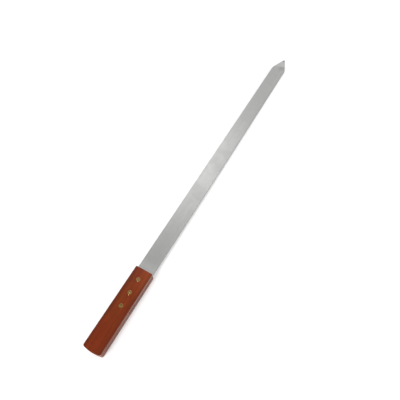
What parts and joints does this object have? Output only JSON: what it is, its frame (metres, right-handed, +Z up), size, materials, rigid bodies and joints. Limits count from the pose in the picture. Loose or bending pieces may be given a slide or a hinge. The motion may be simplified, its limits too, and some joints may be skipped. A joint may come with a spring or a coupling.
{
  "type": "kebab skewer",
  "caption": "Long flat steel kebab skewer with a ground point, its half tang riveted with brass into a slotted hardwood handle.",
  "frame": {"origin": "under the middle of the skewer's length, level with the handle's underside", "axes": "+X along the skewer from the handle to the point, +Z up, square to the flat of the blade"},
  "size_m": [0.61, 0.0264, 0.016],
  "materials": {
    "steel": "satin, finely brushed along the bar",
    "wood": "reddish-brown hardwood, glossy varnish",
    "brass": "sanded flush and polished"
  },
  "bodies": {
    "root": {"blade": "steel", "handle": "wood", "front_rivet_socket": "brass", "front_rivet_pin": "brass", "middle_rivet_socket": "brass", "middle_rivet_pin": "brass", "rear_rivet_socket": "brass", "rear_rivet_pin": "brass"}
  },
  "joints": []
}
